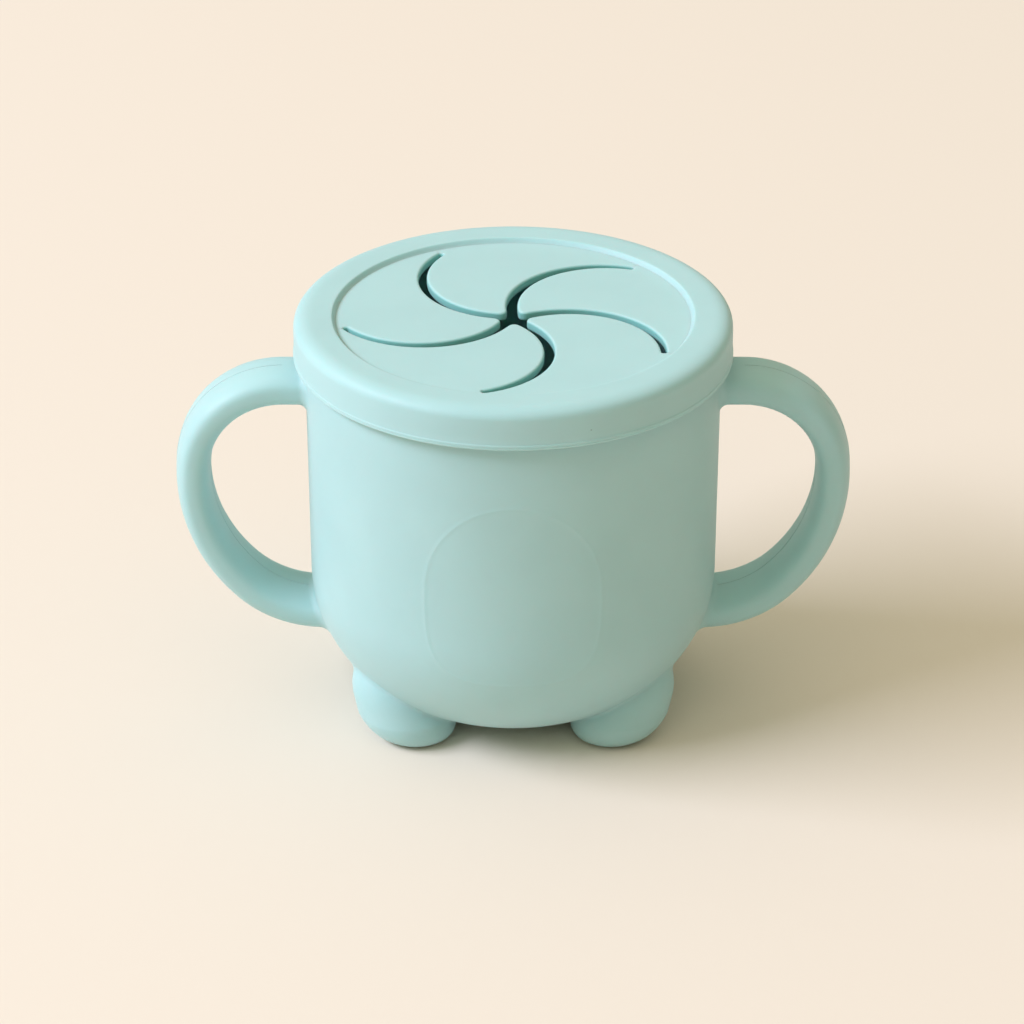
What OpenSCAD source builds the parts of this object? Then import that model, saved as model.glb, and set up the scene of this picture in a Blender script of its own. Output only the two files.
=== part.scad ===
// Toddler snack container: a round soft cup with two loop handles and four stub feet,
// closed by a press-on lid whose flat middle is slit into five petals.
// Millimetres. The origin lies on the floor under the cup's axis, +Z up, handles along X,
// and the front of the cup faces -Y.

/* [Cup] */
// Outer diameter of the cup at its rim
cup_d = 85.4; // [74:0.2:100]
// Height of the cup from its underside to its rim
cup_h = 82.7; // [72:0.1:100]
// Thickness of the cup's side and floor
wall = 2.2; // [1.6:0.1:3.5]
// How much smaller the cup's radius is above the bottom corner than at the rim
draft = 0.5; // [0:0.1:1.5]
// Outside radius of the rounded corner between the side and the floor
corner_r = 29; // [20:0.5:32]
// Height of the cup's underside above the floor
floor_gap = 1.9; // [0.5:0.1:4]

/* [Belly panel] */
// Width of the shallow panel on the front
belly_w = 36.4; // [28:0.2:44]
// Height of the panel's widest place above the cup's underside
belly_z = 42.2; // [36:0.2:48]
// Height of the panel's round upper half
belly_rise = 21.2; // [14:0.2:26]
// Height of the panel's fuller lower half
belly_fall = 20.6; // [14:0.2:28]
// Depth of the panel
belly_depth = 0.3; // [0.2:0.05:0.8]

/* [Lid] */
// Radial clearance between the lid and the cup's rim, inside and outside
lid_fit = 0.2; // [0.1:0.05:0.5]
// Thickness of the skirt round the outside of the rim
skirt_t = 2.1; // [1.5:0.1:4]
// Height of the lid from the skirt's lower edge to its top
lid_h = 8.7; // [7:0.1:14]
// Radius of the rounded shoulder between the top and the skirt
shoulder_r = 3.4; // [2:0.1:4.5]
// Thickness of the petals and of the flat middle that they are cut from
petal_t = 2; // [1.4:0.1:3]
// Depth of the flat middle below the lid's top
recess_depth = 1; // [0.5:0.1:2]
// Diameter of the recess round the petals
recess_d = 73.4; // [72.2:0.2:74.4]
// Thickness of the ring that seals inside the rim
seal_t = 2; // [1.4:0.1:2.8]
// How far the seal ring reaches below the rim
seal_h = 4; // [2:0.1:5]

/* [Petal slits] */
// Width of a slit
slit_w = 2; // [1.2:0.1:2.4]
// Radius of a slit's curve along its middle
slit_r = 19; // [18.5:0.1:19.4]
// Distance from the lid's axis to the centre of a slit's curve
slit_offset = 19.6; // [19:0.1:20]
// Direction in which the first slit's centre lies
slit_turn = 233.4; // [0:0.1:360]
// Angle along its curve at which a slit ends, counted from where it starts beside the lid's axis
slit_sweep = 125; // [120:0.5:130]
// Radius of a petal's rounded tip
tip_r = 2; // [1.2:0.1:2.4]
// Clearance round a petal's rounded hinge edge
hinge_gap = 0.26; // [0.22:0.02:0.4]

/* [Handles] */
// Width of a handle's upper end, front to back
handle_w = 14; // [11:0.5:20]
// Width of a handle's lower end, front to back
handle_low_w = 17.6; // [11:0.2:20]
// Thickness of a handle's upper end, seen from the front
handle_t = 7.2; // [5:0.2:9]
// Thickness of a handle's lower end, seen from the front
handle_low_t = 6.8; // [5:0.2:9]
// Distance from the rim down to the middle of a handle's upper end
handle_drop = 12.4; // [11:0.2:16]
// Height of the middle of a handle's lower end above the cup's underside
handle_lift = 18.9; // [14:0.1:24]
// Straight length of a handle's upper end outside the cup
handle_stub = 4.7; // [3:0.1:10]
// Radius of a handle's upper bend along its middle
upper_bend_r = 18.7; // [15:0.1:22]
// Angle of the upper bend
upper_bend = 85; // [75:1:90]
// Angle of the wide bend between the upper and the lower one
grip_bend = 50; // [40:1:58]
// Radius of a handle's lower bend along its middle
lower_bend_r = 22.8; // [16:0.2:27]

/* [Feet] */
// Diameter of a ball foot
foot_d = 24.2; // [18:0.2:28]
// Distance from the cup's side at the rim in to the middle of a foot
foot_inset = 12.9; // [11:0.1:18]
// Height of the middle of a foot above the floor
foot_centre_z = 11.4; // [7:0.1:11.8]

/* [Hidden] */
$fn = 96;
// How far a cut runs past the face that it opens, and a hair's breadth for faces that would meet
past = 1;
eps = 0.01;
aqua = [0.68, 0.86, 0.84];
pale_aqua = [0.72, 0.88, 0.86];

// Cup
cup_r = cup_d / 2;
rim_z = floor_gap + cup_h;
low_r = cup_r - draft;
corner_x = low_r - corner_r;
corner_z = floor_gap + corner_r;
belly_points = 48;
belly_square = 0.57;

// Lid
skirt_in_r = cup_r + lid_fit;
lid_r = skirt_in_r + skirt_t;
lid_top = rim_z + petal_t + recess_depth;
skirt_z = lid_top - lid_h;
seal_out_r = cup_r - wall - lid_fit;
seal_in_r = seal_out_r - seal_t;
petal_top = rim_z + petal_t;

// Petals
petals = 5;
pitch = 360 / petals;
slit_out_r = slit_r + slit_w / 2;
slit_in_r = slit_r - slit_w / 2;
slit_arc_start = slit_turn - 180;
slit_steps = 8;
hinge_blunt = 1.5;
slit_end = slit_point(0, slit_sweep);
slit_end_r = norm(slit_end);
slit_end_angle = atan2(slit_end[1], slit_end[0]);
hinge_r = slit_end_r * cos(pitch / 2);
hinge_angle = slit_end_angle + pitch / 2;
hinge_z = rim_z + petal_t / 2;
hinge_half = slit_end_r * sin(pitch / 2);
slit_lean = slit_turn - hinge_angle;
slit_depth = hinge_r - slit_offset * cos(slit_lean);
slit_chord = sqrt(max(0, pow(slit_out_r, 2) - pow(slit_depth, 2)));
hinge_from = slit_offset * sin(slit_lean) + slit_chord + hinge_blunt;
hinge_to = hinge_half - slit_w / 2 - hinge_gap;
groove_r = petal_t / 2 + hinge_gap;
far_r = cup_r;

// Handles
handle_span = rim_z - handle_drop - floor_gap - handle_lift;
handle_turn = upper_bend + grip_bend;
grip_bend_r = (handle_span - upper_bend_r * (1 - cos(upper_bend)) - lower_bend_r * (1 + cos(handle_turn)))
            / (cos(upper_bend) - cos(handle_turn));
handle_start = [cup_r + handle_stub, rim_z - handle_drop];
handle_root = low_r * 0.8;
handle_square = 0.72;
ring_points = 24;
ring_step = 4.5;

// Feet
foot_spread = cup_r - foot_inset;

// Centre of the curve of slit k
function slit_centre(k) =
    slit_offset * [cos(slit_turn + k * pitch), sin(slit_turn + k * pitch)];

// Point on the middle of slit k, a degrees along its curve from the lid's axis
function slit_point(k, a) =
    slit_centre(k) + slit_r * [cos(slit_arc_start + k * pitch - a), sin(slit_arc_start + k * pitch - a)];

// Point at distance ra from a and rb from b, on the left of the way from a to b
function crossing(a, ra, b, rb) =
    let (d = norm(b - a), u = (b - a) / d, x = (d * d + ra * ra - rb * rb) / (2 * d))
    a + x * u + sqrt(ra * ra - x * x) * [-u[1], u[0]];

// Centre and heading of a handle's centre-line after a bend of radius r from heading h0 to h1
function bend_centre(p, r, h) = p - r * [sin(h), cos(h)];
function bend_end(p, r, h0, h1) = bend_centre(p, r, h0) + r * [sin(h1), cos(h1)];

// Solid outline of the cup, drawn inset by t and open above the rim by over
module cup_outline(t, over) {
    intersection() {
        union() {
            translate([corner_x, corner_z])
                circle(r = corner_r - t);
            polygon([[0, floor_gap + t], [corner_x, floor_gap + t], [corner_x, corner_z],
                     [low_r - t, corner_z], [cup_r - t, rim_z], [cup_r - t, rim_z + over],
                     [0, rim_z + over]]);
        }
        square([cup_d, rim_z + over]);
    }
}

// Cup without its hollow, for trimming what meets it
module cup_envelope() {
    rotate_extrude()
        cup_outline(0, 0);
}

// Outline of the front panel: half an ellipse on a squarer lower half
module belly_outline() {
    polygon([for (i = [0:belly_points - 1])
        let (a = 360 * i / belly_points,
             power = sin(a) < 0 ? belly_square : 1,
             reach = sin(a) < 0 ? belly_fall : belly_rise)
        [belly_w / 2 * sign(cos(a)) * pow(abs(cos(a)), power),
         reach * sign(sin(a)) * pow(abs(sin(a)), power)]]);
}

module cup_shell() {
    color(aqua)
    difference() {
        rotate_extrude()
            difference() {
                cup_outline(0, 0);
                cup_outline(wall, past);
            }
        // The panel follows the cup's side at an even depth
        difference() {
            translate([0, 0, floor_gap + belly_z])
                rotate([90, 0, 0])
                    linear_extrude(cup_d)
                        belly_outline();
            rotate_extrude()
                cup_outline(belly_depth, past);
        }
    }
}

// Ring of points round a handle where its centre-line is at p in the XZ plane with heading h
function handle_ring(p, h) =
    let (w = handle_w + (handle_low_w - handle_w) * h / 180,
         t = handle_t + (handle_low_t - handle_t) * h / 180)
    [for (i = [0:ring_points - 1])
        let (a = 360 * i / ring_points,
             u = t / 2 * sign(cos(a)) * pow(abs(cos(a)), handle_square),
             v = w / 2 * sign(sin(a)) * pow(abs(sin(a)), handle_square))
        [p[0] + u * sin(h), v, p[1] + u * cos(h)]];

// Rings along a bend of radius r that starts at p with heading h0 and ends with heading h1
function bend_rings(p, r, h0, h1) =
    let (steps = ceil((h1 - h0) / ring_step))
    [for (i = [1:steps])
        let (h = h0 + (h1 - h0) * i / steps)
        handle_ring(bend_end(p, r, h0, h), h)];

// Solid through a list of rings that all have the same number of points
module ring_sweep(rings) {
    n = len(rings[0]);
    last = len(rings) - 1;
    polyhedron(
        points = [for (ring = rings) for (point = ring) point],
        faces = concat(
            [[for (i = [0:n - 1]) i]],
            [[for (i = [n - 1:-1:0]) last * n + i]],
            [for (k = [0:last - 1]) for (i = [0:n - 1]) let (j = (i + 1) % n)
                each [[k * n + i, (k + 1) * n + j, k * n + j],
                      [k * n + i, (k + 1) * n + i, (k + 1) * n + j]]]));
}

module handle() {
    p1 = bend_end(handle_start, upper_bend_r, 0, upper_bend);
    p2 = bend_end(p1, grip_bend_r, upper_bend, handle_turn);
    p3 = bend_end(p2, lower_bend_r, handle_turn, 180);
    difference() {
        ring_sweep(concat(
            [handle_ring([handle_root, handle_start[1]], 0), handle_ring(handle_start, 0)],
            bend_rings(handle_start, upper_bend_r, 0, upper_bend),
            bend_rings(p1, grip_bend_r, upper_bend, handle_turn),
            bend_rings(p2, lower_bend_r, handle_turn, 180),
            [handle_ring([handle_root, p3[1]], 180)]));
        cup_envelope();
    }
}

module right_handle() {
    color(aqua) handle();
}

module left_handle() {
    color(aqua) mirror([1, 0, 0]) handle();
}

// A ball foot in the direction a round the cup's axis, cut flat where it stands
module foot(a) {
    color(aqua)
    difference() {
        intersection() {
            rotate([0, 0, a])
                translate([foot_spread, 0, foot_centre_z])
                    sphere(d = foot_d);
            translate([-cup_d, -cup_d, 0])
                cube([2 * cup_d, 2 * cup_d, cup_h]);
        }
        cup_envelope();
    }
}

// Band of slit k with a round outer end
module slit(k) {
    a1 = slit_arc_start + k * pitch;
    translate(slit_centre(k))
        intersection() {
            difference() {
                circle(r = slit_out_r);
                circle(r = slit_in_r);
            }
            polygon(concat([[0, 0]], [for (i = [-1:slit_steps])
                let (a = a1 - slit_sweep * i / slit_steps)
                2 * slit_r * [cos(a), sin(a)]]));
        }
    translate(slit_point(k, slit_sweep))
        circle(d = slit_w);
}

// Area that the petals hinge round: a pentagon through the slits' outer ends
module hinge_area() {
    polygon([for (k = [0:petals - 1])
        let (a = slit_end_angle + k * pitch)
        slit_end_r * [cos(a), sin(a)]]);
}

// Places children at the middle of the hinge line of petal k, x outward and y along the line
module at_hinge(k) {
    rotate([0, 0, hinge_angle + k * pitch])
        translate([hinge_r, 0, 0])
            children();
}

// Cell between slit k and the next one, whose sides run inside the slits
module petal_cell(k) {
    a = slit_end_angle + k * pitch;
    polygon(concat(
        [for (i = [slit_steps:-1:0]) slit_point(k, slit_sweep * i / slit_steps)],
        [for (i = [0:slit_steps]) slit_point(k + 1, slit_sweep * i / slit_steps)],
        [far_r * [cos(a + pitch), sin(a + pitch)], far_r * [cos(a), sin(a)]]));
}

// What rounding takes off the tip of petal k
module tip_waste(k) {
    a = slit_centre(k);
    b = slit_centre(k + 1);
    p = crossing(a, slit_out_r + tip_r, b, slit_in_r - tip_r);
    to_a = (a - p) / norm(a - p);
    to_b = (p - b) / norm(p - b);
    point = crossing(a, slit_out_r, b, slit_in_r);
    reach = tip_r + slit_w / 2;
    difference() {
        polygon([p, p + reach * to_a, p + (1 + slit_w / norm(point - p)) * (point - p), p + reach * to_b]);
        translate(p)
            circle(r = tip_r);
    }
}

// Side view of a petal: x runs from the hinge's axis to the middle of the lid
module petal_side() {
    circle(d = petal_t);
    translate([0, -petal_t / 2])
        square([far_r, petal_t]);
}

// Outline of petal k with the strip that becomes its rounded hinge edge
module petal_outline(k) {
    difference() {
        union() {
            intersection() {
                hinge_area();
                petal_cell(k);
            }
            at_hinge(k)
                translate([-petal_t, hinge_from])
                    square([2 * petal_t, hinge_to - hinge_from]);
        }
        for (j = [0:petals - 1])
            slit(j);
        tip_waste(k);
        // Room at both ends of the hinge edge
        at_hinge(k) {
            translate([-slit_w, -hinge_half])
                square([slit_w + petal_t, hinge_from + hinge_half]);
            translate([-groove_r, hinge_to])
                square([groove_r + petal_t, slit_w]);
        }
    }
}

// Petal k, with a half-round edge along its hinge
module petal(k) {
    color(pale_aqua)
    intersection() {
        translate([0, 0, rim_z - eps])
            linear_extrude(petal_t + 2 * eps)
                petal_outline(k);
        at_hinge(k)
            translate([0, hinge_half, hinge_z])
                rotate([90, 0, 0])
                    linear_extrude(2 * hinge_half)
                        mirror([1, 0])
                            petal_side();
    }
}

// Half outline of the lid before the petals are cut
module lid_outline() {
    difference() {
        union() {
            translate([lid_r - shoulder_r, lid_top - shoulder_r])
                circle(r = shoulder_r);
            translate([0, skirt_z])
                square([lid_r, lid_h - shoulder_r]);
            translate([0, skirt_z])
                square([lid_r - shoulder_r, lid_h]);
        }
        // The recess round the petals
        translate([0, petal_top])
            square([recess_d / 2, lid_top]);
        // The space below the seal ring
        translate([0, skirt_z - past])
            square([skirt_in_r, rim_z - seal_h - skirt_z + past]);
        // The space inside the seal ring
        translate([0, skirt_z - past])
            square([seal_in_r, rim_z - skirt_z + past]);
        // The channel that takes the cup's rim
        translate([seal_out_r, skirt_z - past])
            square([skirt_in_r - seal_out_r, rim_z - skirt_z + past]);
    }
}

module lid_ring() {
    color(aqua)
    difference() {
        rotate_extrude()
            lid_outline();
        translate([0, 0, rim_z - past])
            linear_extrude(petal_t + 2 * past) {
                hinge_area();
                for (k = [0:petals - 1])
                    slit(k);
            }
        // Grooves for the petals' rounded hinge edges
        for (k = [0:petals - 1])
            at_hinge(k)
                translate([0, hinge_half, hinge_z])
                    rotate([90, 0, 0])
                        cylinder(r = groove_r, h = hinge_half - hinge_from + hinge_gap);
    }
}

cup_shell();
left_handle();
right_handle();
foot(225);  // front_left_foot
foot(315);  // front_right_foot
foot(135);  // rear_left_foot
foot(45);  // rear_right_foot
lid_ring();
petal(0);  // flap_1
petal(1);  // flap_2
petal(2);  // flap_3
petal(3);  // flap_4
petal(4);  // flap_5
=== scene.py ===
"""Looks of a toddler snack container: a soft cup with loop handles and stub feet under a petal lid.

Sizes are in millimetres, in the frame's axes: +Z up, the front faces -Y, and the origin lies on the
floor under the cup's axis. A mesh is scaled to metres when its object is made.
"""

import logging
import math
from dataclasses import dataclass, field
from enum import Enum
from typing import Any, Callable, Iterable, Sequence

import bmesh
import bpy
import numpy as np
from mathutils import Matrix, Vector

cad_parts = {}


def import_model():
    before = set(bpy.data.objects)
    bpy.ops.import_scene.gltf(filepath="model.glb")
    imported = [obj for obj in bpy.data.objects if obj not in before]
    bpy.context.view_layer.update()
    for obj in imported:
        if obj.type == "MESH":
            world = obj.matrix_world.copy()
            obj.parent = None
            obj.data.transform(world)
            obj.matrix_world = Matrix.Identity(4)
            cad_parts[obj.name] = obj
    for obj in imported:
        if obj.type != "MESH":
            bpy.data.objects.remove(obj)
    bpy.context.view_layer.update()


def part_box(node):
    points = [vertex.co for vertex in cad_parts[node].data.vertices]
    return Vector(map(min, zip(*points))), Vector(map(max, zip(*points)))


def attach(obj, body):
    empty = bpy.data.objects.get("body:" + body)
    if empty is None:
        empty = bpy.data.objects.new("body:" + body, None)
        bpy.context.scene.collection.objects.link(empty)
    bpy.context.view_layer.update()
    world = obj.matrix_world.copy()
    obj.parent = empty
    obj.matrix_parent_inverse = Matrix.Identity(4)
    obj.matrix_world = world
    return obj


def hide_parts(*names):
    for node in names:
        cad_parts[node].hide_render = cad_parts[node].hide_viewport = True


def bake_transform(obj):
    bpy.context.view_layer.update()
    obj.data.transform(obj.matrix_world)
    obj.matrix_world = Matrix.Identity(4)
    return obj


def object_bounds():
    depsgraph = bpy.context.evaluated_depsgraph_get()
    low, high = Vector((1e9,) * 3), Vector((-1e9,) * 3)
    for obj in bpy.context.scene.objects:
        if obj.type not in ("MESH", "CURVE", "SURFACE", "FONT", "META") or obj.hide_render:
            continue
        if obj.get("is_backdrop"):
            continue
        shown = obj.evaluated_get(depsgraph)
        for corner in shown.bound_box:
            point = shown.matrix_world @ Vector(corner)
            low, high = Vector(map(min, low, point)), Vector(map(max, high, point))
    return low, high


MM = 0.001
# Cosine between a face and its shape below which the face is a flat cap
CAP_COSINE = 0.3
# Angle in degrees from which an edge of a swept mesh stays sharp
SHARP_ANGLE = 38.0
# Attribute of the petals that is 1 on the slits' walls, where a darker teal is painted as the shade between
# the petals
WALL_SHADE_MARK = "slit_wall_shade"
# Least length in millimetres and least squared slope, which keep divisions away from zero
LEAST_LENGTH = 1e-6
LEAST_SLOPE = 0.1
log = logging.getLogger("snack_container")

Points = np.ndarray
Distance = Callable[[Points], Points]
Outline = list[tuple[float, float]]
Line = list[tuple[float, float, float]]
Colour = tuple[float, float, float, float]


class Slot(Enum):
    """Names of material slots for the cup and the lid; no piece here is given one."""

    CUP = "cup_silicone"
    LID = "lid_silicone"


class Side(Enum):
    """Side of the cup that a handle or a foot stands on, as the sign of its X."""

    LEFT = -1
    RIGHT = 1


class Face(Enum):
    """Face of the cup that a foot stands on, as the sign of its Y."""

    FRONT = -1
    REAR = 1


def linear(red: int, green: int, blue: int) -> Colour:
    """Turns a display colour into the linear colour that a shader takes.

    Args:
        red: Red from 0 to 255.
        green: Green from 0 to 255.
        blue: Blue from 0 to 255.

    Returns:
        The linear colour with full opacity.
    """
    shares = [channel / 255 for channel in (red, green, blue)]
    levels = [s / 12.92 if s <= 0.04045 else ((s + 0.055) / 1.055) ** 2.4 for s in shares]
    return (levels[0], levels[1], levels[2], 1.0)


def node_box(node: str) -> tuple[Points, Points]:
    """Gives a node's lowest and highest corners in millimetres.

    Args:
        node: Name of a node of the frame.

    Returns:
        The two corners, rounded to a hundredth of a millimetre.
    """
    low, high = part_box(node)
    return np.round(np.array(low) / MM, 2), np.round(np.array(high) / MM, 2)


def turned(radius: float, degrees: float) -> Points:
    """Gives the plan point at a radius and an angle round the cup's axis."""
    angle = math.radians(degrees)
    return radius * np.array([math.cos(angle), math.sin(angle)])


def arc(centre: tuple[float, float], radius: float, start: float, end: float, steps: int) -> Outline:
    """Gives points along an arc.

    Args:
        centre: Centre of the arc.
        radius: Radius of the arc.
        start: Angle of the first point in degrees.
        end: Angle of the last point in degrees.
        steps: Number of stretches between the points.

    Returns:
        The points, ends included.
    """
    angles = [math.radians(start + (end - start) * i / steps) for i in range(steps + 1)]
    return [(centre[0] + radius * math.cos(a), centre[1] + radius * math.sin(a)) for a in angles]


def round_union(shapes: Sequence[Points], radius: float) -> Points:
    """Joins shapes with a round fillet where they meet.

    Args:
        shapes: Signed distances to each shape, negative inside.
        radius: Radius of the fillet.

    Returns:
        The signed distance to the joined shape.
    """
    stack = np.stack(shapes)
    near = np.maximum(radius - stack, 0.0)
    return np.maximum(radius, stack.min(axis=0)) - np.sqrt((near**2).sum(axis=0))


def round_overlap(shapes: Sequence[Points], radius: float) -> Points:
    """Keeps what all shapes share, with its edges rounded.

    Args:
        shapes: Signed distances to each shape, negative inside.
        radius: Radius of the rounded edges.

    Returns:
        The signed distance to the shared shape.
    """
    return -round_union([-shape for shape in shapes], radius)


def soft_step(share: Points) -> Points:
    """Rises smoothly from 0 to 1 as the share goes from 0 to 1."""
    held = np.clip(share, 0.0, 1.0)
    return held * held * (3 - 2 * held)


def superellipse(across: Points, along: Points, half_a: Any, half_b: Any, power: Any) -> Points:
    """Signed distance to a rounded rectangle-like oval, exact to first order.

    Args:
        across: First coordinate of the points.
        along: Second coordinate of the points.
        half_a: Half size in the first direction.
        half_b: Half size in the second direction.
        power: 2 for an ellipse, more for a squarer outline.

    Returns:
        The signed distances, negative inside.
    """
    u = np.maximum(np.abs(across), LEAST_LENGTH) / half_a
    v = np.maximum(np.abs(along), LEAST_LENGTH) / half_b
    level = (u**power + v**power) ** (1 / power)
    slope_u = (u / level) ** (power - 1) / half_a
    slope_v = (v / level) ** (power - 1) / half_b
    return (level - 1) / np.hypot(slope_u, slope_v)


def slope_of(shape: Distance, points: Points, step: float = 0.01) -> Points:
    """Gives the gradient of a signed distance at some points.

    Args:
        shape: The signed distance.
        points: Points as rows.
        step: Half the span that a difference is taken over.

    Returns:
        One gradient a row.
    """
    result = np.empty_like(points)
    for axis in range(3):
        shift = np.zeros(3)
        shift[axis] = step
        result[:, axis] = shape(points + shift) - shape(points - shift)
    return result / (2 * step)


def settled(shape: Distance, points: Points, reach: float, rounds: int = 4) -> Points:
    """Draws points onto the surface of a shape.

    Args:
        shape: The shape's signed distance.
        points: Points near the surface, as rows.
        reach: How far a point may move in one round.
        rounds: Number of rounds.

    Returns:
        The moved points.
    """
    for _ in range(rounds):
        slope = slope_of(shape, points)
        move = slope * (shape(points) / np.maximum((slope**2).sum(axis=1), LEAST_SLOPE))[:, None]
        length = np.maximum(np.linalg.norm(move, axis=1), LEAST_LENGTH)
        points = points - move * np.minimum(1.0, reach / length)[:, None]
    return points


@dataclass(frozen=True)
class SurfaceNet:
    """A mesh of quads drawn round a shape, with one vertex in each grid cell that the surface crosses."""

    shape: Distance
    low: tuple[float, float, float]
    high: tuple[float, float, float]
    cell: float

    def build(self) -> tuple[Points, np.ndarray]:
        """Samples the shape and draws the net.

        Returns:
            The vertices on the surface and the quads that join them, facing outwards.
        """
        low = np.array(self.low)
        counts = np.ceil((np.array(self.high) - low) / self.cell).astype(int) + 1
        axes = [low[a] + self.cell * np.arange(counts[a]) for a in range(3)]
        grid = np.stack(np.meshgrid(*axes, indexing="ij"), axis=-1).reshape(-1, 3)
        values = self.shape(grid).reshape(counts)
        inside = values < 0
        cells = self._crossed(inside)
        numbers = np.full(cells.shape, -1, dtype=np.int64)
        numbers[cells] = np.arange(cells.sum())
        where = np.argwhere(cells)
        points = low + self.cell * (where + self._middles(values, where))
        points = settled(self.shape, points, self.cell / 2)
        return points, self._quads(inside, numbers)

    @staticmethod
    def _crossed(inside: np.ndarray) -> np.ndarray:
        """Marks the cells that have corners both inside and outside the shape."""
        total = np.zeros([n - 1 for n in inside.shape], dtype=np.int8)
        for i in (0, 1):
            for j in (0, 1):
                for k in (0, 1):
                    ends = [n - 1 + d for n, d in zip(inside.shape, (i, j, k))]
                    total += inside[i : ends[0], j : ends[1], k : ends[2]]
        return (total > 0) & (total < 8)

    @staticmethod
    def _middles(values: Points, where: np.ndarray) -> Points:
        """Gives the mean of the crossings on each cell's edges, in cells from its first corner."""
        total = np.zeros(where.shape)
        count = np.zeros(len(where))
        for axis in range(3):
            step = np.eye(3, dtype=int)[axis]
            others = [np.eye(3, dtype=int)[a] for a in range(3) if a != axis]
            for first in (0, 1):
                for second in (0, 1):
                    corner = first * others[0] + second * others[1]
                    a = values[tuple((where + corner).T)]
                    b = values[tuple((where + corner + step).T)]
                    hit = (a < 0) != (b < 0)
                    share = np.where(hit, a / np.where(hit, a - b, 1.0), 0.0)
                    total += hit[:, None] * (corner + share[:, None] * step)
                    count += hit
        return total / np.maximum(count, 1)[:, None]

    @staticmethod
    def _quads(inside: np.ndarray, numbers: np.ndarray) -> np.ndarray:
        """Joins the four cells round each grid edge that the surface crosses."""
        quads = []
        for axis in range(3):
            order = [axis, (axis + 1) % 3, (axis + 2) % 3]
            held = np.transpose(inside, order)
            cells = np.transpose(numbers, order)
            leaving = held[:-1, 1:-1, 1:-1] & ~held[1:, 1:-1, 1:-1]
            entering = ~held[:-1, 1:-1, 1:-1] & held[1:, 1:-1, 1:-1]
            ring = [cells[:, :-1, :-1], cells[:, 1:, :-1], cells[:, 1:, 1:], cells[:, :-1, 1:]]
            quads.append(np.stack([c[leaving] for c in ring], axis=1))
            quads.append(np.stack([c[entering] for c in reversed(ring)], axis=1))
        return np.concatenate(quads)


@dataclass
class ShapedMesh:
    """A mesh on the surface of a shape, which takes its shading from the shape itself."""

    shape: Distance
    mesh: bmesh.types.BMesh

    @classmethod
    def from_net(cls, net: SurfaceNet) -> "ShapedMesh":
        """Builds the mesh of a net."""
        points, quads = net.build()
        mesh = bmesh.new()
        rows = [mesh.verts.new(p) for p in points]
        for quad in quads:
            mesh.faces.new([rows[i] for i in quad])
        mesh.verts.index_update()
        return cls(net.shape, mesh)

    def places(self) -> Points:
        """Gives the vertices' places as rows."""
        return np.array([v.co[:] for v in self.mesh.verts])

    def refine(self, turn: float, reach: float) -> None:
        """Halves the faces across which the surface turns quickly.

        Args:
            turn: Angle between the normals at an edge's ends above which its faces are halved.
            reach: How far a new vertex may move to the surface in one round.
        """
        self.mesh.verts.index_update()
        normals = slope_of(self.shape, self.places())
        normals /= np.linalg.norm(normals, axis=1)[:, None]
        ends = np.array([[v.index for v in e.verts] for e in self.mesh.edges])
        cosines = (normals[ends[:, 0]] * normals[ends[:, 1]]).sum(axis=1)
        self.mesh.edges.ensure_lookup_table()
        sharp = np.flatnonzero(cosines < math.cos(math.radians(turn)))
        self._halve((f for i in sharp for f in self.mesh.edges[i].link_faces), reach)

    def refine_near(self, away: Distance, within: float, reach: float) -> None:
        """Halves the faces near a line.

        Args:
            away: Distance to the line.
            within: Distance up to which faces are halved.
            reach: How far a new vertex may move to the surface in one round.
        """
        self.mesh.faces.ensure_lookup_table()
        centres = np.array([f.calc_center_median()[:] for f in self.mesh.faces])
        self._halve((self.mesh.faces[i] for i in np.flatnonzero(np.abs(away(centres)) < within)), reach)

    def _halve(self, faces: Iterable[bmesh.types.BMFace], reach: float) -> None:
        """Halves the edges of some faces and draws the new vertices onto the shape's surface."""
        known = len(self.mesh.verts)
        edges = list(dict.fromkeys(e for f in faces for e in f.edges))
        bmesh.ops.subdivide_edges(self.mesh, edges=edges, cuts=1, use_grid_fill=True)
        many_sided = [f for f in self.mesh.faces if len(f.verts) > 4]
        bmesh.ops.triangulate(self.mesh, faces=many_sided)
        added = list(self.mesh.verts)[known:]
        places = settled(self.shape, np.array([v.co[:] for v in added]), reach)
        for vert, place in zip(added, places):
            vert.co = place

    def to_object(self, name: str, material: bpy.types.Material) -> bpy.types.Object:
        """Makes an object of the mesh, scaled to metres.

        Args:
            name: Name of the piece.
            material: Finish of the piece.

        Returns:
            The object, linked to the scene.
        """
        self.mesh.verts.index_update()
        normals = slope_of(self.shape, self.places())
        normals /= np.maximum(np.linalg.norm(normals, axis=1), LEAST_LENGTH)[:, None]
        data = bpy.data.meshes.new(name)
        self.mesh.to_mesh(data)
        self.mesh.free()
        data.transform(Matrix.Scale(MM, 4))
        corner_vertex = np.zeros(len(data.loops), dtype=np.int64)
        data.loops.foreach_get("vertex_index", corner_vertex)
        shading = normals[corner_vertex]
        data.update()
        for face in data.polygons:
            face.use_smooth = True
            own = np.array(face.normal)
            if abs(own @ shading[face.loop_start]) < CAP_COSINE:
                shading[face.loop_start : face.loop_start + face.loop_total] = own
        data.normals_split_custom_set(shading.tolist())
        data.materials.append(material)
        piece = bpy.data.objects.new(name, data)
        bpy.context.scene.collection.objects.link(piece)
        return piece


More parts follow.
